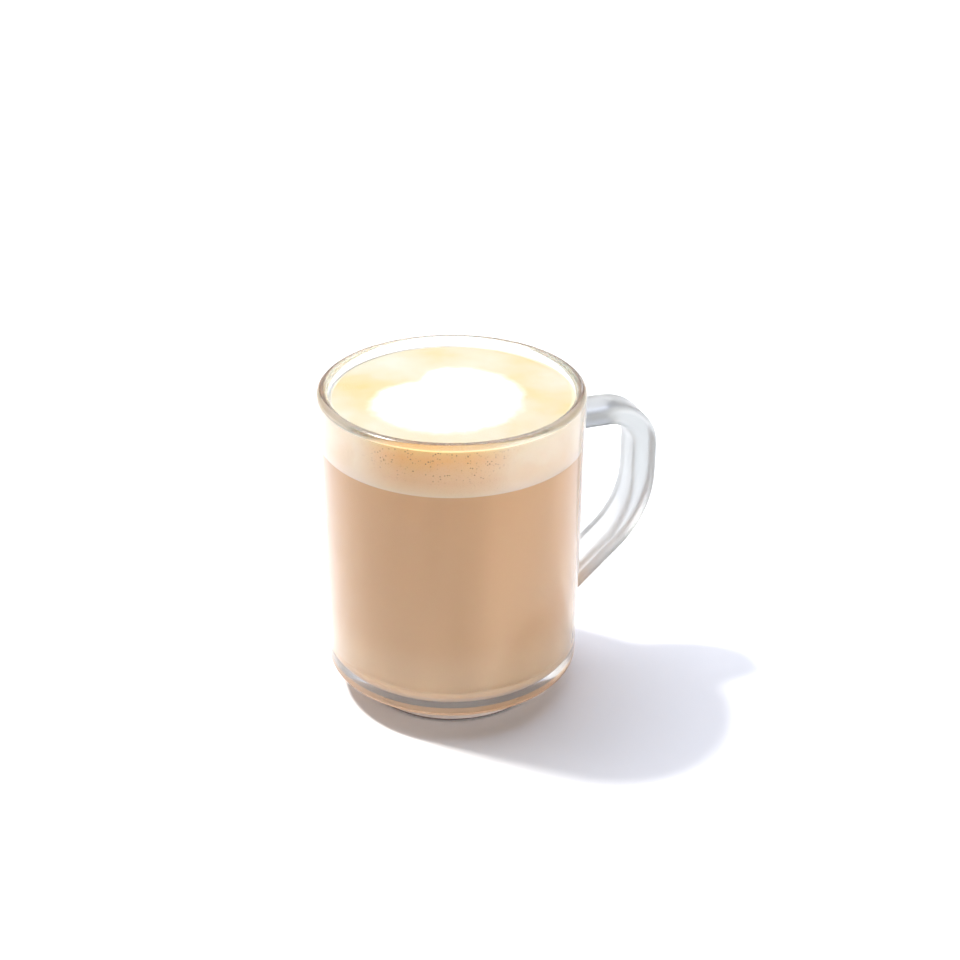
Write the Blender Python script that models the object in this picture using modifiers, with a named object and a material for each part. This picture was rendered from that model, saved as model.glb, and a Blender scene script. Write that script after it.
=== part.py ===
"""Latte in a clear pressed-glass mug with one side handle.

Metres, +Z up. The mug stands on z = 0 with its axis on the Z axis, and its handle points along +X.
Four sub-parts: the glass mug (body and handle in one piece), the milky coffee, the layer of foam
that floats on it up to just under the rim, and the pool of whiter milk foam in the middle of the top.
"""

import math

import bmesh
import bpy

MM = 0.001

# Body of the mug, a turned shape
HEIGHT = 100 * MM
RIM_RADIUS = 40 * MM  # outside of the wall under the lip
HEEL_RADIUS = 39.2 * MM  # outside of the wall where it turns under
LIP_THICKNESS = 3.4 * MM  # the lip is a full round
HEEL_TOP = 10.2 * MM  # height where the wall starts to turn under
HEEL_BOTTOM = 6.5 * MM  # height where the underside meets the foot
FOOT_RADIUS = 29.2 * MM
FOOT_EDGE = 0.8 * MM  # rounding of the foot's lower edge
FOOT_FILLET = 1.2 * MM  # hollow rounding between the foot and the underside
FLOOR_HEIGHT = 10 * MM  # inside, at the middle
WELL_RADIUS = 35.4 * MM  # inside of the wall above the rounded corner
WELL_CORNER = 8.5 * MM  # rounding between the floor and the wall
TURN_STEPS = 96

# Handle, a flat bar cut to an outline in the XZ plane, with rounded long edges
HANDLE_WIDTH = 12.4 * MM
HANDLE_EDGE = 2.2 * MM  # rounding of the long edges
HANDLE_REACH = 66.2 * MM  # outside of the grip, from the mug's axis
GRIP_THICKNESS = 8.2 * MM
ARM_TOP = 87.7 * MM  # upper side of the level upper arm
ARM_THICKNESS = 6.3 * MM
OUTER_CORNER = 16 * MM  # from the upper arm into the grip
INNER_CORNER = 8.4 * MM
GRIP_BOTTOM = 62.9 * MM  # where the straight grip starts to curve back
OUTER_SWEEP = 34.8 * MM  # from the grip into the lower arm
INNER_SWEEP = 28.2 * MM
LOWER_ARM_SLOPE = 43  # degrees from level
ROOT_DEPTH = 1.6 * MM  # how far the bar is let into the wall

# What is in the mug
GAP = 0.3 * MM  # between touching solids
COFFEE_LEVEL = 82.7 * MM
FOAM_LEVEL = 97 * MM  # where the foam meets the glass
FOAM_CROWN = 0.3 * MM  # how much higher its middle is

# Pool of white milk foam: a wide bean with a tongue of darker foam reaching in from one side
POOL_CENTRE = (-4.7 * MM, -1.6 * MM)
POOL_RADIUS = 22.3 * MM
POOL_LEAN = 2.2 * MM  # wider on one side
POOL_LEAN_ANGLE = -25  # degrees from +X towards +Y, as the two below
POOL_NOTCH = 6.5 * MM  # depth of the tongue of darker foam
POOL_NOTCH_ANGLE = 114
POOL_NOTCH_SPREAD = 36
POOL_DEPTH = 2 * MM
POOL_RISE = 0.25 * MM  # stands this much above the foam round it
POOL_EDGE = 0.5 * MM  # rounding of its edge
POOL_STEPS = 72


def arc(centre, radii, start, end, steps):
    """Points (x, z) on an ellipse's arc; angles in degrees from +X towards +Z."""
    points = []
    for step in range(steps + 1):
        angle = math.radians(start + (end - start) * step / steps)
        points.append((centre[0] + radii[0] * math.cos(angle), centre[1] + radii[1] * math.sin(angle)))
    return points


def well_radius(height):
    """Radius of the mug's inside at a height above its rounded corner."""
    low = FLOOR_HEIGHT + WELL_CORNER
    high = HEIGHT - LIP_THICKNESS / 2
    share = (height - low) / (high - low)
    return WELL_RADIUS + (RIM_RADIUS - LIP_THICKNESS - WELL_RADIUS) * share


def material(name, colour, roughness, transmission=0.0):
    surface = bpy.data.materials.new(name)
    surface.use_nodes = True
    shader = surface.node_tree.nodes["Principled BSDF"]
    shader.inputs["Base Color"].default_value = (*colour, 1.0)
    shader.inputs["Roughness"].default_value = roughness
    shader.inputs["Metallic"].default_value = 0.0
    shader.inputs["Transmission Weight"].default_value = transmission
    surface.diffuse_color = (*colour, 1.0 - 0.7 * transmission)
    return surface


def add_object(name, data, collection):
    thing = bpy.data.objects.new(name, data)
    collection.objects.link(thing)
    return thing


def turned(name, outline, collection):
    """A solid turned about the Z axis from (radius, z) points; the outer side runs downwards."""
    mesh = bpy.data.meshes.new(name)
    shape = bmesh.new()
    row = [shape.verts.new((radius, 0, z)) for radius, z in outline]
    for first, second in zip(row, row[1:]):
        shape.edges.new((first, second))
    shape.to_mesh(mesh)
    shape.free()
    thing = add_object(name, mesh, collection)
    screw = thing.modifiers.new("Turn", "SCREW")
    screw.axis = "Z"
    screw.angle = math.tau
    screw.steps = screw.render_steps = TURN_STEPS
    screw.use_merge_vertices = True
    screw.merge_threshold = 0.00001
    return thing


def combine(thing, operation, other):
    cut = thing.modifiers.new(operation.title(), "BOOLEAN")
    cut.operation = operation
    cut.object = other


def mug_outline():
    lip = LIP_THICKNESS / 2
    corner = (WELL_RADIUS - WELL_CORNER, FLOOR_HEIGHT + WELL_CORNER)
    inside = [(0, FLOOR_HEIGHT)] + arc(corner, (WELL_CORNER, WELL_CORNER), -90, 0, 8)
    rim = arc((RIM_RADIUS - lip, HEIGHT - lip), (lip, lip), 180, 0, 12)
    heel_size = (HEEL_RADIUS - FOOT_RADIUS, HEEL_TOP - HEEL_BOTTOM)
    heel = arc((FOOT_RADIUS, HEEL_TOP), heel_size, 0, -80, 8)
    fillet_centre = (FOOT_RADIUS + FOOT_FILLET, HEEL_BOTTOM - FOOT_FILLET)
    fillet = arc(fillet_centre, (FOOT_FILLET, FOOT_FILLET), 90, 180, 3)
    foot_corner = (FOOT_RADIUS - FOOT_EDGE, FOOT_EDGE)
    foot = arc(foot_corner, (FOOT_EDGE, FOOT_EDGE), 0, -90, 3)
    return inside + rim + heel + fillet + foot + [(0, 0)]


def handle_outline():
    """The bar's outline as (x, z) points, from inside the wall out along its upper side and back."""
    root = RIM_RADIUS - 2 * LIP_THICKNESS
    outer_x = HANDLE_REACH
    inner_x = HANDLE_REACH - GRIP_THICKNESS
    arm_bottom = ARM_TOP - ARM_THICKNESS
    corner = arc((outer_x - OUTER_CORNER, ARM_TOP - OUTER_CORNER), (OUTER_CORNER, OUTER_CORNER), 90, 0, 10)
    turn = 90 - LOWER_ARM_SLOPE
    sweep = arc((outer_x - OUTER_SWEEP, GRIP_BOTTOM), (OUTER_SWEEP, OUTER_SWEEP), 0, -turn, 10)
    inner_sweep = arc((inner_x - INNER_SWEEP, GRIP_BOTTOM), (INNER_SWEEP, INNER_SWEEP), -turn, 0, 9)
    inner_centre = (inner_x - INNER_CORNER, arm_bottom - INNER_CORNER)
    inner_corner = arc(inner_centre, (INNER_CORNER, INNER_CORNER), 0, 90, 8)
    fall = math.tan(math.radians(LOWER_ARM_SLOPE))
    lower_root = [(root, z - (x - root) * fall) for x, z in (sweep[-1], inner_sweep[0])]
    upper_root = [(root, arm_bottom), (root, ARM_TOP)]
    return corner + sweep + lower_root + inner_sweep + inner_corner + upper_root


def plate(name, outline, thickness, collection):
    """A flat plate from (x, y) points: a filled 2D curve with an extrude, made a mesh with welded faces."""
    curve = bpy.data.curves.new(name, "CURVE")
    curve.dimensions = "2D"
    curve.fill_mode = "BOTH"
    curve.extrude = thickness / 2
    spline = curve.splines.new("POLY")
    spline.points.add(len(outline) - 1)
    for point, (x, y) in zip(spline.points, outline):
        point.co = (x, y, 0, 1)
    spline.use_cyclic_u = True
    flat = add_object(name + "_curve", curve, collection)
    bpy.context.view_layer.update()
    graph = bpy.context.evaluated_depsgraph_get()
    mesh = bpy.data.meshes.new_from_object(flat.evaluated_get(graph))
    shape = bmesh.new()
    shape.from_mesh(mesh)
    bmesh.ops.remove_doubles(shape, verts=shape.verts, dist=0.00001)
    bmesh.ops.recalc_face_normals(shape, faces=shape.faces)
    bmesh.ops.dissolve_limit(
        shape, angle_limit=math.radians(0.5), verts=shape.verts, edges=shape.edges, delimit={"NORMAL"}
    )
    shape.to_mesh(mesh)
    shape.free()
    bpy.data.objects.remove(flat)
    return add_object(name, mesh, collection)


def round_edges(thing, width, segments):
    edge = thing.modifiers.new("Rounded edges", "BEVEL")
    edge.width = width
    edge.segments = segments
    edge.limit_method = "ANGLE"
    edge.angle_limit = math.radians(60)


def handle(collection):
    """The bar, trimmed to end inside the mug's wall."""
    bar = plate("handle_bar", handle_outline(), HANDLE_WIDTH, collection)
    bar.rotation_euler = (math.pi / 2, 0, 0)
    round_edges(bar, HANDLE_EDGE, 4)
    bpy.ops.mesh.primitive_cylinder_add(
        vertices=TURN_STEPS, radius=RIM_RADIUS - ROOT_DEPTH, depth=2 * HEIGHT, location=(0, 0, HEIGHT / 2)
    )
    trim = bpy.context.object
    trim.name = "handle_trim"
    move_to(trim, collection)
    combine(bar, "DIFFERENCE", trim)
    return bar


def move_to(thing, collection):
    for old in thing.users_collection:
        old.objects.unlink(thing)
    collection.objects.link(thing)


def hide_cutter(cutter):
    cutter.hide_render = True
    cutter.display_type = "WIRE"


def glass_mug(parts, cutters):
    mug = turned("glass_mug", mug_outline(), parts)
    combine(mug, "UNION", handle(cutters))
    mug.data.materials.append(material("clear_glass", (0.93, 0.95, 0.95), 0.02, 1.0))


def coffee(parts):
    top = COFFEE_LEVEL
    radius = WELL_CORNER - GAP
    corner = (WELL_RADIUS - WELL_CORNER, FLOOR_HEIGHT + WELL_CORNER)
    side = [(well_radius(top) - GAP, top)]
    floor = arc(corner, (radius, radius), 0, -90, 8)
    drink = turned("coffee", [(0, top)] + side + floor + [(0, FLOOR_HEIGHT + GAP)], parts)
    drink.data.materials.append(material("milky_coffee", (0.54, 0.34, 0.22), 0.35))


def foam_height(radius):
    """Height of the crowned foam's surface at a distance from the axis."""
    edge = well_radius(FOAM_LEVEL) - GAP
    return FOAM_LEVEL + FOAM_CROWN * (1 - (radius / edge) ** 2)


def foam_outline():
    bottom = COFFEE_LEVEL + GAP
    edge = well_radius(FOAM_LEVEL) - GAP
    top = [(edge * share, foam_height(edge * share)) for share in (0, 0.3, 0.55, 0.8, 1)]
    return top + [(well_radius(bottom) - GAP, bottom), (0, bottom)]


def pool_radius(angle):
    """Outline of the white pool round its centre: nearly round, with one soft notch."""
    lean = POOL_LEAN * math.cos(angle - math.radians(POOL_LEAN_ANGLE))
    away = (angle - math.radians(POOL_NOTCH_ANGLE) + math.pi) % math.tau - math.pi
    notch = POOL_NOTCH * math.exp(-((away / math.radians(POOL_NOTCH_SPREAD)) ** 2))
    return POOL_RADIUS + lean - notch


def pool_outline(margin):
    points = []
    for step in range(POOL_STEPS):
        angle = math.tau * step / POOL_STEPS
        radius = pool_radius(angle) + margin
        points.append((POOL_CENTRE[0] + radius * math.cos(angle), POOL_CENTRE[1] + radius * math.sin(angle)))
    return points


def pool_plate(name, margin, bottom, top, collection):
    pool = plate(name, pool_outline(margin), top - bottom, collection)
    pool.location = (0, 0, (top + bottom) / 2)
    return pool


def foam(parts, cutters):
    layer = turned("foam", foam_outline(), parts)
    bottom = FOAM_LEVEL - POOL_DEPTH
    combine(layer, "DIFFERENCE", pool_plate("pool_pocket", GAP, bottom - GAP, HEIGHT, cutters))
    layer.data.materials.append(material("beige_foam", (0.83, 0.66, 0.46), 0.6))


def milk_foam(parts):
    pool = pool_plate("milk_foam", 0, FOAM_LEVEL - POOL_DEPTH, FOAM_LEVEL + FOAM_CROWN + POOL_RISE, parts)
    round_edges(pool, POOL_EDGE, 2)
    pool.data.materials.append(material("white_foam", (0.95, 0.92, 0.84), 0.55))


def build():
    for thing in list(bpy.data.objects):
        bpy.data.objects.remove(thing)
    parts = bpy.data.collections.new("glass_of_latte")
    cutters = bpy.data.collections.new("cutters")
    for collection in (parts, cutters):
        bpy.context.scene.collection.children.link(collection)
    glass_mug(parts, cutters)
    coffee(parts)
    foam(parts, cutters)
    milk_foam(parts)
    for cutter in cutters.objects:
        hide_cutter(cutter)


build()
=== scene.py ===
import math

import bmesh
import bpy
from mathutils import Matrix, Vector, noise

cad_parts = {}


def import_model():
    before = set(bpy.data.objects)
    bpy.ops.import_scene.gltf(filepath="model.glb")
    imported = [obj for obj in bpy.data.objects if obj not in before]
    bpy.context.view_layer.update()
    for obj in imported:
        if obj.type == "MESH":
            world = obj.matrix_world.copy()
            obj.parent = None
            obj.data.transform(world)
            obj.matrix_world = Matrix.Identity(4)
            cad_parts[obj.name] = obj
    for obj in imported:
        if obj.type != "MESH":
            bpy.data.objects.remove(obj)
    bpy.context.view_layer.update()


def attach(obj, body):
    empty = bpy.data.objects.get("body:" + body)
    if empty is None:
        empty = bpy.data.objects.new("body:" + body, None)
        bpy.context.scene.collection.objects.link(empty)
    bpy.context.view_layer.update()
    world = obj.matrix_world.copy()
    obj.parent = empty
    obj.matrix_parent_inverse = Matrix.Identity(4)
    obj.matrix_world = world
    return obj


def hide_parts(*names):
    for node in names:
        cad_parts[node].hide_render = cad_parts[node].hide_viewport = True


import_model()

MM = 0.001

# The mug's sizes, as in the CAD
HEIGHT = 100 * MM
RIM_RADIUS = 40 * MM
HEEL_RADIUS = 39.2 * MM
LIP_THICKNESS = 3.4 * MM
HEEL_TOP = 10.2 * MM
HEEL_BOTTOM = 6.5 * MM
FOOT_RADIUS = 29.2 * MM
FOOT_EDGE = 0.8 * MM
FOOT_FILLET = 1.2 * MM
FLOOR_HEIGHT = 10 * MM
WELL_RADIUS = 35.4 * MM
WELL_CORNER = 8.5 * MM
HANDLE_WIDTH = 12.4 * MM
HANDLE_EDGE = 2.2 * MM
HANDLE_REACH = 66.2 * MM
GRIP_THICKNESS = 8.2 * MM
ARM_TOP = 87.7 * MM
ARM_THICKNESS = 6.3 * MM
OUTER_CORNER = 16 * MM
INNER_CORNER = 8.4 * MM
GRIP_BOTTOM = 62.9 * MM
OUTER_SWEEP = 34.8 * MM
INNER_SWEEP = 28.2 * MM
LOWER_ARM_SLOPE = 43
ROOT_DEPTH = 1.6 * MM
COFFEE_LEVEL = 82.7 * MM
FOAM_LEVEL = 97 * MM
FOAM_CROWN = 0.3 * MM
POOL_CENTRE = (-4.7 * MM, -1.6 * MM)
POOL_RADIUS = 22.3 * MM
POOL_LEAN = 2.2 * MM
POOL_LEAN_ANGLE = -25
POOL_NOTCH = 6.5 * MM
POOL_NOTCH_ANGLE = 114
POOL_NOTCH_SPREAD = 36
POOL_RISE = 0.25 * MM

# The scene's own
POOL_BAY = 3.4 * MM  # a small bay in the notch, finer than the CAD's outline
POOL_BAY_ANGLE = 95
POOL_BAY_SPREAD = 13
INTO_WALL = 0.12 * MM  # how far the drink reaches into the glass
STEPS = 192  # round the axis

# Zones of the glass, each with its own tint; several of the tints are painted light or shade
LIP_ZONE = 0.42 * LIP_THICKNESS  # below the top of the lip
OUTER_LIP_ZONE = 0.62 * LIP_THICKNESS  # in from the outer side
LINE_TOP = 17.2 * MM  # of the painted light line near the bottom of the wall
GREY_TOP = 15.4 * MM  # of the painted grey band under it, which stands in for shade seen through the glass
BAND_TOP = 12 * MM  # of the amber band in the heel, a painted reflection of the coffee
HEEL_ZONE_BOTTOM = 8 * MM
FOOT_EDGE_TOP = 0.72 * MM
WALL_ZONE_DEPTH = 1 * MM
OFF_THE_WALL = 0.01 * MM
LEVEL_DOWN = -0.999  # a normal's z, at most, on the underside
NOT_UPWARD = 0.1  # a normal's z, at most, on the outside

# The camera, fitted to the photo
PICTURE_WIDTH = 960  # pixels
FOCAL_LENGTH = 1628.243  # pixels
RIM_LEFT_OF_MIDDLE = 28.849  # pixels
RIM_ABOVE_MIDDLE = 94.248  # pixels
SENSOR_WIDTH = 36  # mm
CAMERA_TILT = math.radians(27.863)
CAMERA_ROLL = math.radians(0.454)
CAMERA_TURN = math.radians(-20)
CAMERA_DISTANCE = 0.48028

KEY_LIGHT = (-51, 22, 100)  # right of the camera, away from it and up
STAGE_SIZE = 6
STAGE_DROP = 0.05 * MM


# ---------------------------------------------------------------- shapes


def arc(centre, radii, start, end, steps):
    points = []
    for step in range(steps + 1):
        angle = math.radians(start + (end - start) * step / steps)
        points.append((centre[0] + radii[0] * math.cos(angle), centre[1] + radii[1] * math.sin(angle)))
    return points


def well_radius(height):
    """Of the inside of the wall."""
    low = FLOOR_HEIGHT + WELL_CORNER
    high = HEIGHT - LIP_THICKNESS / 2
    return WELL_RADIUS + (RIM_RADIUS - LIP_THICKNESS - WELL_RADIUS) * (height - low) / (high - low)


def add_object(name, data):
    thing = bpy.data.objects.new(name, data)
    bpy.context.scene.collection.objects.link(thing)
    return thing


def lathe(name, outline):
    """A closed solid turned about Z from (radius, z) points."""
    shape = bmesh.new()
    rings = []
    for radius, z in outline:
        if radius < 1e-7:
            rings.append([shape.verts.new((0, 0, z))])
        else:
            ring = []
            for step in range(STEPS):
                angle = math.tau * step / STEPS
                ring.append(shape.verts.new((radius * math.cos(angle), radius * math.sin(angle), z)))
            rings.append(ring)
    for upper, lower in zip(rings, rings[1:]):
        for step in range(STEPS):
            after = (step + 1) % STEPS
            if len(upper) == 1:
                shape.faces.new((upper[0], lower[step], lower[after]))
            elif len(lower) == 1:
                shape.faces.new((upper[step], lower[0], upper[after]))
            else:
                shape.faces.new((upper[step], lower[step], lower[after], upper[after]))
    mesh = bpy.data.meshes.new(name)
    shape.to_mesh(mesh)
    shape.free()
    return add_object(name, mesh)


def smooth(thing, degrees):
    """Smooth shading, with sharp edges over an angle."""
    mesh = thing.data
    mesh.polygons.foreach_set("use_smooth", [True] * len(mesh.polygons))
    mesh.set_sharp_from_angle(angle=math.radians(degrees))
    mesh.update()


def apply_modifiers(thing):
    bpy.context.view_layer.update()
    graph = bpy.context.evaluated_depsgraph_get()
    mesh = bpy.data.meshes.new_from_object(thing.evaluated_get(graph))
    thing.modifiers.clear()
    thing.data = mesh


def combine(thing, operation, other):
    cut = thing.modifiers.new(operation, "BOOLEAN")
    cut.operation = operation
    cut.object = other
    apply_modifiers(thing)
    bpy.data.objects.remove(other)


def mug_outline():
    lip = LIP_THICKNESS / 2
    rim_centre = (RIM_RADIUS - lip, HEIGHT - lip)
    corner = (WELL_RADIUS - WELL_CORNER, FLOOR_HEIGHT + WELL_CORNER)
    inside = [(share * corner[0], FLOOR_HEIGHT) for share in (0, 0.5)]
    inside += arc(corner, (WELL_CORNER, WELL_CORNER), -90, 0, 16)
    for share in (0.25, 0.5, 0.75):
        z = corner[1] + share * (rim_centre[1] - corner[1])
        inside.append((well_radius(z), z))
    rim = arc(rim_centre, (lip, lip), 180, 0, 24)
    outside = []
    for share in (0.25, 0.5, 0.75):
        radius = RIM_RADIUS + (HEEL_RADIUS - RIM_RADIUS) * share
        outside.append((radius, rim_centre[1] + (HEEL_TOP - rim_centre[1]) * share))
    for z in (LINE_TOP, GREY_TOP, BAND_TOP):
        slope = (RIM_RADIUS - HEEL_RADIUS) / (rim_centre[1] - HEEL_TOP)
        outside.append((HEEL_RADIUS + (z - HEEL_TOP) * slope, z))
    heel = arc((FOOT_RADIUS, HEEL_TOP), (HEEL_RADIUS - FOOT_RADIUS, HEEL_TOP - HEEL_BOTTOM), 0, -80, 20)
    fillet_centre = (FOOT_RADIUS + FOOT_FILLET, HEEL_BOTTOM - FOOT_FILLET)
    fillet = arc(fillet_centre, (FOOT_FILLET, FOOT_FILLET), 90, 180, 8)
    foot = arc((FOOT_RADIUS - FOOT_EDGE, FOOT_EDGE), (FOOT_EDGE, FOOT_EDGE), 0, -90, 6)
    return inside + rim + outside + heel + fillet + foot + [(0, 0)]


def handle_outline():
    root = RIM_RADIUS - 2 * LIP_THICKNESS
    outer_x = HANDLE_REACH
    inner_x = HANDLE_REACH - GRIP_THICKNESS
    arm_bottom = ARM_TOP - ARM_THICKNESS
    corner_centre = (outer_x - OUTER_CORNER, ARM_TOP - OUTER_CORNER)
    corner = arc(corner_centre, (OUTER_CORNER, OUTER_CORNER), 90, 0, 24)
    turn = 90 - LOWER_ARM_SLOPE
    sweep = arc((outer_x - OUTER_SWEEP, GRIP_BOTTOM), (OUTER_SWEEP, OUTER_SWEEP), 0, -turn, 24)
    inner_sweep = arc((inner_x - INNER_SWEEP, GRIP_BOTTOM), (INNER_SWEEP, INNER_SWEEP), -turn, 0, 22)
    inner_centre = (inner_x - INNER_CORNER, arm_bottom - INNER_CORNER)
    inner_corner = arc(inner_centre, (INNER_CORNER, INNER_CORNER), 0, 90, 20)
    fall = math.tan(math.radians(LOWER_ARM_SLOPE))
    lower_root = [(root, z - (x - root) * fall) for x, z in (sweep[-1], inner_sweep[0])]
    upper_root = [(root, arm_bottom), (root, ARM_TOP)]
    return corner + sweep + lower_root + inner_sweep + inner_corner + upper_root


def handle_bar():
    shape = bmesh.new()
    half = HANDLE_WIDTH / 2
    near = shape.faces.new([shape.verts.new((x, -half, z)) for x, z in handle_outline()])
    grown = bmesh.ops.extrude_face_region(shape, geom=[near])
    for vert in grown["geom"]:
        if isinstance(vert, bmesh.types.BMVert):
            vert.co.y = half
    bmesh.ops.recalc_face_normals(shape, faces=shape.faces)
    mesh = bpy.data.meshes.new("bar")
    shape.to_mesh(mesh)
    shape.free()
    bar = add_object("bar", mesh)
    edge = bar.modifiers.new("Rounded edges", "BEVEL")
    edge.width = HANDLE_EDGE
    edge.segments = 8
    edge.limit_method = "ANGLE"
    edge.angle_limit = math.radians(60)
    apply_modifiers(bar)
    inside, above, below = RIM_RADIUS - ROOT_DEPTH, HEIGHT * 1.2, -HEIGHT * 0.2
    combine(bar, "DIFFERENCE", lathe("plug", [(0, above), (inside, above), (inside, below), (0, below)]))
    return bar


def glass():
    mug = lathe("mug_glass", mug_outline())
    combine(mug, "UNION", handle_bar())
    smooth(mug, 35)
    return mug


def coffee():
    corner = (WELL_RADIUS - WELL_CORNER, FLOOR_HEIGHT + WELL_CORNER)
    bend = WELL_CORNER + INTO_WALL
    top = [(well_radius(COFFEE_LEVEL) * share, COFFEE_LEVEL) for share in (0, 0.5, 0.97)]
    wall = []
    for share in (1, 0.75, 0.5, 0.25):
        z = corner[1] + (COFFEE_LEVEL - corner[1]) * share
        wall.append((well_radius(z) + INTO_WALL, z))
    bottom = arc(corner, (bend, bend), 0, -90, 16)
    drink = lathe("latte_coffee", top + wall + bottom + [(0, FLOOR_HEIGHT - INTO_WALL)])
    smooth(drink, 40)
    return drink


def pool_radius(angle):
    """Of the white pool's outline: a circle that leans to one side, with a notch and a small bay."""
    lean = POOL_LEAN * math.cos(angle - math.radians(POOL_LEAN_ANGLE))
    radius = POOL_RADIUS + lean
    notch = (POOL_NOTCH, POOL_NOTCH_ANGLE, POOL_NOTCH_SPREAD)
    bay = (POOL_BAY, POOL_BAY_ANGLE, POOL_BAY_SPREAD)
    for depth, middle, spread in (notch, bay):
        away = (angle - math.radians(middle) + math.pi) % math.tau - math.pi
        radius -= depth * math.exp(-((away / math.radians(spread)) ** 2))
    return radius


def into_pool(x, y):
    """How far a point is inside the white pool's outline."""
    dx, dy = x - POOL_CENTRE[0], y - POOL_CENTRE[1]
    return pool_radius(math.atan2(dy, dx)) - math.hypot(dx, dy)


def ripple(x, y):
    """Slow and fine unevenness of the froth's top."""
    slow = noise.noise(Vector((x, y, 0)) / (6 * MM)) * 0.12
    fine = noise.noise(Vector((x, y, 7 * MM)) / (1.7 * MM)) * 0.04
    return (slow + fine) * MM


def foam():
    """One layer of froth: the beige foam with the white pool in its top."""
    rim = well_radius(FOAM_LEVEL) + INTO_WALL
    top = [(rim * share / 60, FOAM_LEVEL) for share in range(61)]
    wall = []
    for share in range(1, 13):
        z = FOAM_LEVEL + (COFFEE_LEVEL - FOAM_LEVEL) * share / 12
        wall.append((well_radius(z) + INTO_WALL, z))
    under = COFFEE_LEVEL - 0.2 * MM
    froth = lathe("latte_foam", top + wall + [(wall[-1][0] - 1 * MM, under), (0, under)])
    mesh = froth.data
    pool = mesh.attributes.new("pool", "FLOAT", "POINT")
    from_wall = mesh.attributes.new("from_wall", "FLOAT", "POINT")
    for index, vert in enumerate(mesh.vertices):
        x, y, z = vert.co
        radius = math.hypot(x, y)
        inside = into_pool(x, y) / MM
        pool.data[index].value = inside
        from_wall.data[index].value = (rim - radius) / MM
        if z > FOAM_LEVEL - 1e-6:
            swell = 1 / (1 + math.exp(-inside / 0.9))
            fade = min(1, (rim - radius) / (2 * MM))
            crown = FOAM_CROWN * (1 - (radius / rim) ** 2)
            vert.co.z = FOAM_LEVEL + crown + POOL_RISE * swell + ripple(x, y) * fade
    smooth(froth, 50)
    return froth


# ---------------------------------------------------------------- materials


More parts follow.
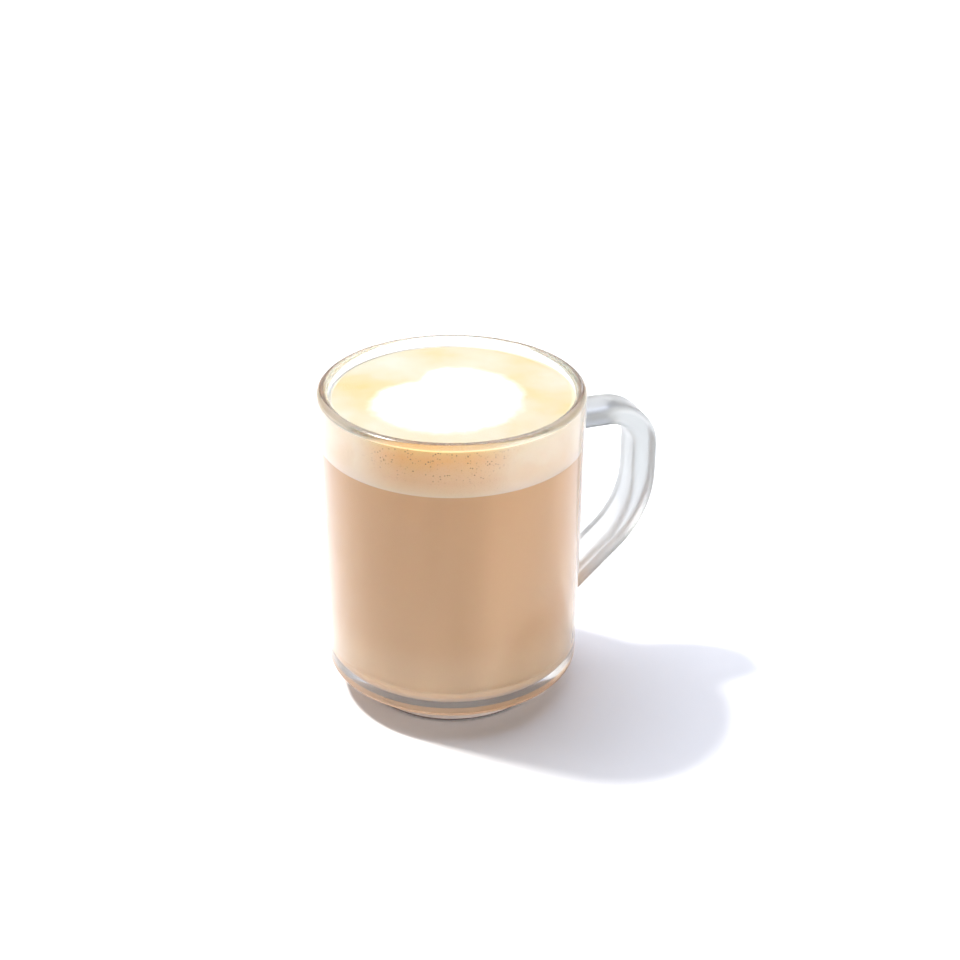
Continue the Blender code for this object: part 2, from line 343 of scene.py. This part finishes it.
class Nodes:
    """A material's node tree with its Principled shader."""

    def __init__(self, name):
        self.material = bpy.data.materials.new(name)
        self.material.use_nodes = True
        self.tree = self.material.node_tree
        self.shader = self.tree.nodes["Principled BSDF"]
        self.coords = self.tree.nodes.new("ShaderNodeTexCoord").outputs["Object"]
        split = self.tree.nodes.new("ShaderNodeSeparateXYZ")
        self.join(self.coords, split.inputs[0])
        self.z = split.outputs[2]

    def join(self, source, socket):
        if isinstance(source, bpy.types.NodeSocket):
            self.tree.links.new(source, socket)
        else:
            socket.default_value = source

    def settings(self, **values):
        """Constants on the shader's own sockets."""
        for name, value in values.items():
            self.shader.inputs[name.replace("_", " ")].default_value = value

    def math(self, operation, first, second=0.0, clamp=False):
        node = self.tree.nodes.new("ShaderNodeMath")
        node.operation = operation
        node.use_clamp = clamp
        self.join(first, node.inputs[0])
        self.join(second, node.inputs[1])
        return node.outputs[0]

    def times(self, first, second):
        return self.math("MULTIPLY", first, second)

    def around_zero(self, value, reach):
        """A noise of 0 to 1 as an offset of up to half the reach either way."""
        return self.times(self.math("SUBTRACT", value, 0.5), reach)

    def between(self, value, low, high, smooth_step=True):
        """0 at low, 1 at high."""
        node = self.tree.nodes.new("ShaderNodeMapRange")
        node.interpolation_type = "SMOOTHSTEP" if smooth_step else "LINEAR"
        self.join(value, node.inputs["Value"])
        node.inputs["From Min"].default_value = low
        node.inputs["From Max"].default_value = high
        return node.outputs["Result"]

    def ramp(self, value, stops):
        node = self.tree.nodes.new("ShaderNodeValToRGB")
        elements = node.color_ramp.elements
        while len(elements) < len(stops):
            elements.new(0.5)
        for element, (position, colour) in zip(elements, stops):
            element.position = position
            element.color = (*linear(colour), 1)
        self.join(value, node.inputs[0])
        return node.outputs[0]

    def mix(self, share, first, second, blend="MIX"):
        node = self.tree.nodes.new("ShaderNodeMix")
        node.data_type = "RGBA"
        node.blend_type = blend
        self.join(share, node.inputs["Factor"])
        for socket, colour in ((node.inputs[6], first), (node.inputs[7], second)):
            self.join((*linear(colour), 1) if isinstance(colour, tuple) else colour, socket)
        return node.outputs[2]

    def noise(self, scale, detail=3, stretch=None):
        source = self.coords
        if stretch:
            mapping = self.tree.nodes.new("ShaderNodeMapping")
            self.join(source, mapping.inputs["Vector"])
            mapping.inputs["Scale"].default_value = stretch
            source = mapping.outputs[0]
        node = self.tree.nodes.new("ShaderNodeTexNoise")
        self.join(source, node.inputs["Vector"])
        node.inputs["Scale"].default_value = scale
        node.inputs["Detail"].default_value = detail
        return node.outputs["Fac"]

    def cells(self, scale):
        """Distance from the nearest cell's middle, and one random number a cell."""
        node = self.tree.nodes.new("ShaderNodeTexVoronoi")
        self.join(self.coords, node.inputs["Vector"])
        node.inputs["Scale"].default_value = scale
        split = self.tree.nodes.new("ShaderNodeSeparateColor")
        self.join(node.outputs["Color"], split.inputs[0])
        return node.outputs["Distance"], split.outputs[0]

    def attribute(self, name):
        node = self.tree.nodes.new("ShaderNodeAttribute")
        node.attribute_name = name
        return node.outputs["Fac"]

    def upward(self):
        """1 where the surface looks up, 0 on its sides."""
        geometry = self.tree.nodes.new("ShaderNodeNewGeometry")
        facing = self.tree.nodes.new("ShaderNodeSeparateXYZ")
        self.join(geometry.outputs["True Normal"], facing.inputs[0])
        return self.between(facing.outputs[2], 0.4, 0.7)

    def along(self, toward, low, high):
        """0 at low, 1 at high, in shares of the rim's radius along a level direction."""
        part = self.tree.nodes.new("ShaderNodeVectorMath")
        part.operation = "DOT_PRODUCT"
        self.join(self.coords, part.inputs[0])
        part.inputs[1].default_value = toward
        return self.between(self.math("DIVIDE", part.outputs["Value"], RIM_RADIUS), low, high)

    def patches(self):
        """Strongest on the side towards the photo's camera, with weaker patches elsewhere."""
        front = self.along(direction(-0.12, -1, 0), 0.7, 0.92)
        cloud = self.noise(55, 3, (1, 1, 1.4))
        rest = self.times(self.between(cloud, 0.5, 0.7), 0.25)
        ragged = self.math("ADD", 0.55, self.times(cloud, 0.8))
        return self.math("MAXIMUM", self.math("MULTIPLY", front, ragged, True), rest)

    def bump(self, height, distance, strength):
        node = self.tree.nodes.new("ShaderNodeBump")
        node.inputs["Strength"].default_value = strength
        node.inputs["Distance"].default_value = distance
        self.join(height, node.inputs["Height"])
        self.join(node.outputs[0], self.shader.inputs["Normal"])


def linear(colour):
    """sRGB 0 to 255 as linear light."""
    return tuple(v / 255 / 12.92 if v <= 10 else ((v / 255 + 0.055) / 1.055) ** 2.4 for v in colour)


# The looks of the glass: tints by share of the mug's height, roughness, haze where it is seen edge-on,
# and the share that lets light through. Several tints and diffuse shares are painted light or shade
GLASS_LOOKS = {
    "pressed_glass": ([(0, (255, 255, 255)), (1, (254, 255, 255))], 0, 0.8, 1),
    # painted shade: the handle's grey tint stands in for the dim surroundings seen through it; it is
    # lighter on the lower arm as painted light over a dark band
    "handle_painted_shade_glass": (
        [
            (0.3, (244, 244, 242)),
            (0.42, (214, 215, 214)),
            (0.52, (193, 195, 195)),
            (0.65, (187, 190, 189)),
            (0.84, (182, 184, 183)),
            (0.88, (184, 184, 180)),
        ],
        0.3,
        0.3,
        1,
    ),
    "lip_glass": ([(0.9, (228, 254, 255)), (1, (229, 254, 255))], 0.2, 0.15, 1),
    # painted shadow: a dark reddish tint on the underside of the foot and heel dims the light that
    # passes under the heel, deepening the contact shadow on the floor
    "foot_painted_contact_shadow_glass": ([(0, (122, 92, 84)), (0.08, (162, 134, 124))], 0.05, 0, 1),
    # painted light: the foot's wall is mostly a pale diffuse surface, standing in for light glowing
    # through the foot
    "foot_wall_painted_glow_glass": ([(0, (250, 236, 230)), (0.06, (250, 228, 208))], 0.1, 0, 0.3),
    # painted shadow: a dark tint on the foot's rounded lower edge draws a dark contact line where the
    # glass meets the floor
    "foot_edge_painted_contact_shadow_glass": ([(0, (82, 66, 68)), (0.01, (120, 100, 100))], 0.1, 0, 0.4),
    # the outer lip's grey tint is partly the thick glass's own dimming and partly painted shade for the
    # dim band seen through the lip
    "outer_lip_painted_shade_glass": ([(0.9, (183, 182, 178)), (1, (184, 182, 178))], 0.2, 0.15, 1),
    # painted reflection: a partly diffuse amber band in the heel stands in for the coffee seen reflected
    # in the base
    "heel_painted_coffee_reflection_glass": ([(0.08, (252, 198, 148)), (0.12, (250, 208, 166))], 0.1, 0, 0.69),
    # painted shade band: a ring of partly diffuse pale grey glass paints the grey band at the bottom of
    # the wall, which is shade seen through the glass
    "painted_grey_band_glass": ([(0.12, (236, 234, 232)), (0.16, (240, 238, 234))], 0, 0.2, 0.87),
    # painted light: a partly diffuse cream ring draws the pale line along the coffee's bottom edge,
    # standing in for light from the glass base
    "painted_light_line_glass": ([(0.15, (255, 240, 216)), (0.18, (255, 240, 216))], 0, 0.3, 0.86),
}


def glass_material(name, tints, roughness, haze, clear):
    """Pressed glass with slight ripples; where not fully clear it is partly diffuse, and its tint by
    height can carry painted light or shade.
    """
    look = Nodes(name)
    height = look.between(look.z, 0, HEIGHT, False)
    look.join(look.ramp(height, tints), look.shader.inputs["Base Color"])
    look.settings(Transmission_Weight=clear, Roughness=roughness, IOR=1.5)
    look.settings(Sheen_Weight=haze, Sheen_Roughness=0.35)
    look.bump(look.noise(60, 1), 0.05 * MM, 0.4)
    return look.material


def glass_zone(face):
    """The name of the look that a face of the mug has."""
    radius = math.hypot(face.center.x, face.center.y)
    z = face.center.z
    level_down = face.normal.z <= LEVEL_DOWN
    if radius > RIM_RADIUS + OFF_THE_WALL:
        return "handle_painted_shade_glass"
    if z > HEIGHT - LIP_ZONE:
        return "outer_lip_painted_shade_glass" if radius > RIM_RADIUS - OUTER_LIP_ZONE else "lip_glass"
    if z < FOOT_EDGE_TOP and not level_down:
        return "foot_edge_painted_contact_shadow_glass"
    if z < HEEL_BOTTOM - FOOT_FILLET and not level_down:
        return "foot_wall_painted_glow_glass"
    if BAND_TOP < z < LINE_TOP and radius > HEEL_RADIUS - WALL_ZONE_DEPTH:
        return "painted_grey_band_glass" if z < GREY_TOP else "painted_light_line_glass"
    if HEEL_ZONE_BOTTOM < z < BAND_TOP and face.normal.z < NOT_UPWARD:
        return "heel_painted_coffee_reflection_glass"
    if z < HEEL_ZONE_BOTTOM and face.normal.z < NOT_UPWARD:
        return "foot_painted_contact_shadow_glass"
    return "pressed_glass"


def coffee_material():
    look = Nodes("milky_coffee_look")
    height = look.between(look.z, FLOOR_HEIGHT, COFFEE_LEVEL, False)
    # painted light: the coffee is lighter towards the bottom, standing in for light coming up through
    # the glass base; higher up the ramp is the drink's own tone
    body = look.ramp(
        height,
        [
            (0, (255, 236, 212)),
            (0.1, (249, 219, 180)),
            (0.3, (237, 198, 153)),
            (0.85, (233, 190, 141)),
            (1, (231, 185, 134)),
        ],
    )
    # painted reflection: faint vertical streaks darken the coffee in bands, standing in for soft
    # reflections in the glass
    reflection_streak_noise = look.noise(45, 2, (1, 1, 0.12))
    painted_reflection_streaks = look.ramp(reflection_streak_noise, [(0.3, (236, 232, 228)), (0.7, (255, 255, 255))])
    look.join(look.mix(1.0, body, painted_reflection_streaks, "MULTIPLY"), look.shader.inputs["Base Color"])
    look.settings(Roughness=0.5, Specular_IOR_Level=0)
    look.settings(Subsurface_Weight=0.3, Subsurface_Radius=(1.0, 0.8, 0.65), Subsurface_Scale=2 * MM)
    return look.material


def foam_side(look, patch):
    """Against the glass, from the coffee up: pale, with patches of orange crema under the rim."""
    height = look.between(look.z, COFFEE_LEVEL, FOAM_LEVEL, False)
    pale = look.ramp(height, [(0, (254, 230, 210)), (0.3, (255, 232, 206)), (1, (255, 236, 212))])
    orange = look.ramp(
        height,
        [
            (0, (244, 221, 189)),
            (0.12, (240, 208, 167)),
            (0.32, (236, 194, 145)),
            (0.55, (239, 193, 135)),
            (0.8, (248, 195, 124)),
            (1, (252, 209, 138)),
        ],
    )
    return look.mix(patch, pale, orange)


def foam_top(look, patch):
    """Crema with the white pool, and a ring of its own along the glass, painted paler towards the
    back-left to lift the rim's cast shadow.
    """
    cloud = look.noise(38, 3)
    crema = look.ramp(cloud, [(0.35, (201, 179, 130)), (0.5, (200, 187, 158)), (0.7, (201, 196, 179))])
    wander = look.around_zero(look.noise(160, 3), 5)
    inside = look.between(look.math("ADD", look.attribute("pool"), wander), -2.8, 4.6)
    top = look.mix(inside, crema, (255, 253, 247))
    # painted light: the ring by the glass is paler towards the back-left, where the rim casts its shadow
    # on the crema
    painted_light_side = look.along(direction(-0.7, 0.7, 0), -0.2, 0.5)
    edge = look.mix(patch, look.mix(painted_light_side, (214, 202, 174), (250, 246, 234)), (240, 186, 118))
    from_wall = look.math("ADD", look.attribute("from_wall"), look.around_zero(cloud, 2))
    return look.mix(look.between(from_wall, 1.5, 0.3), top, edge)


def bubble_specks(look, patch, is_top):
    """Fine bubbles that show against the glass, in the crema patches alone."""
    distance, pick = look.cells(1700)
    speck = look.between(distance, 0.4, 0.26)
    picked = look.between(pick, 0.7, 0.86, False)
    crowd = look.between(look.noise(150, 2), 0.34, 0.52)
    low = look.between(look.z, COFFEE_LEVEL + 3 * MM, COFFEE_LEVEL + 7 * MM)
    specks = look.times(look.times(speck, picked), look.times(crowd, low))
    return look.times(specks, look.times(patch, look.math("SUBTRACT", 1.0, is_top)))


def foam_material():
    look = Nodes("foam_look")
    patch = look.patches()
    is_top = look.upward()
    froth = look.mix(is_top, foam_side(look, patch), foam_top(look, patch))
    colour = look.mix(bubble_specks(look, patch, is_top), froth, (140, 86, 50))
    look.join(colour, look.shader.inputs["Base Color"])
    look.settings(Roughness=0.6, Specular_IOR_Level=0.05)
    look.settings(Subsurface_Weight=0.35, Subsurface_Radius=(1.0, 0.75, 0.55), Subsurface_Scale=3.5 * MM)
    pores = look.between(look.cells(1400)[0], 0.0, 0.5)
    look.bump(pores, 0.12 * MM, 0.35)
    return look.material


# ---------------------------------------------------------------- stage


def camera():
    ahead = Vector((0, math.cos(CAMERA_TILT), -math.sin(CAMERA_TILT)))
    up = Vector((0, math.sin(CAMERA_TILT), math.cos(CAMERA_TILT)))
    right = Vector((1, 0, 0))
    pixel = CAMERA_DISTANCE / FOCAL_LENGTH
    aim = Vector((0, 0, HEIGHT)) + right * (RIM_LEFT_OF_MIDDLE * pixel) - up * (RIM_ABOVE_MIDDLE * pixel)
    place = Matrix.Translation(aim - CAMERA_DISTANCE * ahead)
    axes = Matrix((right, up, -ahead)).transposed().to_4x4()
    data = bpy.data.cameras.new("camera")
    data.sensor_width = SENSOR_WIDTH
    data.lens = SENSOR_WIDTH * FOCAL_LENGTH / PICTURE_WIDTH
    thing = add_object("camera", data)
    roll = Matrix.Rotation(CAMERA_ROLL, 4, "Z")
    thing.matrix_world = Matrix.Rotation(CAMERA_TURN, 4, "Z") @ place @ axes @ roll
    bpy.context.scene.camera = thing


def floor():
    bpy.ops.mesh.primitive_plane_add(size=STAGE_SIZE, location=(0, 0, -STAGE_DROP))
    thing = bpy.context.object
    thing.name = "studio_floor"
    look = Nodes("studio_floor")
    tone = look.ramp(look.noise(3, 2), [(0.3, (246, 246, 246)), (0.7, (250, 250, 250))])
    look.join(tone, look.shader.inputs["Base Color"])
    look.settings(Roughness=0.7, Specular_IOR_Level=0.2)
    thing.data.materials.append(look.material)


def direction(across, away, up):
    """A direction given as seen by the camera: to the right, away from it and up."""
    cos, sin = math.cos(CAMERA_TURN), math.sin(CAMERA_TURN)
    return Vector((across * cos - away * sin, across * sin + away * cos, up)).normalized()


def backdrop(tree, coords):
    """Bright up to 5 degrees over the horizon and nearly dark from 20 degrees up."""
    rise = tree.nodes.new("ShaderNodeSeparateXYZ")
    tree.links.new(coords, rise.inputs[0])
    fade = tree.nodes.new("ShaderNodeMapRange")
    fade.interpolation_type = "SMOOTHSTEP"
    tree.links.new(rise.outputs[2], fade.inputs["Value"])
    fade.inputs["From Min"].default_value = math.sin(math.radians(20))
    fade.inputs["From Max"].default_value = math.sin(math.radians(5))
    fade.inputs["To Min"].default_value = 0.05
    fade.inputs["To Max"].default_value = 1.0
    return fade.outputs["Result"]


def light_box(tree, coords, toward, outer, inner, colour):
    """A soft round light: full within the inner angle, dark outside the outer one."""
    dot = tree.nodes.new("ShaderNodeVectorMath")
    dot.operation = "DOT_PRODUCT"
    tree.links.new(coords, dot.inputs[0])
    dot.inputs[1].default_value = direction(*toward)
    edge = tree.nodes.new("ShaderNodeMapRange")
    edge.interpolation_type = "SMOOTHSTEP"
    tree.links.new(dot.outputs["Value"], edge.inputs["Value"])
    edge.inputs["From Min"].default_value = math.cos(math.radians(outer))
    edge.inputs["From Max"].default_value = math.cos(math.radians(inner))
    box = tree.nodes.new("ShaderNodeVectorMath")
    box.operation = "SCALE"
    box.inputs[0].default_value = colour
    tree.links.new(edge.outputs["Result"], box.inputs["Scale"])
    return box.outputs[0]


# Where each light of the studio is, its outer and inner angles in degrees, and its brightness:
# the glow round the key light, the sky, a rim light, the two sides and a weak fill over the camera
LIGHT_BOXES = [
    (KEY_LIGHT, 22, 8, (1.6, 1.584, 1.552)),
    ((0, 45, 90), 48, 5, (2.0915, 2.2325, 2.679)),
    ((-87, 50, 70), 16, 4, (1.2, 1.2, 1.2)),
    ((-100, 25, 6), 28, 8, (3.2, 3.2, 3.2)),
    ((100, -45, 6), 34, 8, (4.4, 4.4, 4.4)),
    ((0, -100, 22), 42, 8, (0.3, 0.3, 0.3)),
]


def world():
    """Plain studio light: a pale backdrop with soft boxes of light added to it."""
    studio = bpy.data.worlds.new("studio")
    bpy.context.scene.world = studio
    studio.use_nodes = True
    tree = studio.node_tree
    coords = tree.nodes.new("ShaderNodeTexCoord").outputs["Generated"]
    total = backdrop(tree, coords)
    for box in LIGHT_BOXES:
        add = tree.nodes.new("ShaderNodeVectorMath")
        add.operation = "ADD"
        tree.links.new(total, add.inputs[0])
        tree.links.new(light_box(tree, coords, *box), add.inputs[1])
        total = add.outputs[0]
    tree.links.new(total, tree.nodes["Background"].inputs["Color"])


def key_lamp():
    """The sun that casts the mug's shadow."""
    data = bpy.data.lights.new("key", "SUN")
    data.energy = 3.0
    data.angle = math.radians(6)
    data.color = (1.0, 0.99, 0.96)
    data.cycles.use_multiple_importance_sampling = False
    thing = add_object("key", data)
    thing.rotation_euler = direction(*KEY_LIGHT).to_track_quat("Z", "Y").to_euler()


# ---------------------------------------------------------------- scene


def dress(piece, materials, slot, *nodes):
    piece.data.materials.clear()
    for material in materials:
        piece.data.materials.append(material)
    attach(piece, "root")
    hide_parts(*nodes)


def dress_mug():
    mug = glass()
    looks = [glass_material(name, *look) for name, look in GLASS_LOOKS.items()]
    dress(mug, looks, "clear_glass", "glass_mug")
    zones = list(GLASS_LOOKS)
    for face in mug.data.polygons:
        face.material_index = zones.index(glass_zone(face))


camera()
world()
key_lamp()
floor()
dress_mug()
dress(coffee(), [coffee_material()], "milky_coffee", "coffee")
dress(foam(), [foam_material()], "beige_foam", "foam", "milk_foam")
bpy.context.scene.view_settings.view_transform = "Standard"
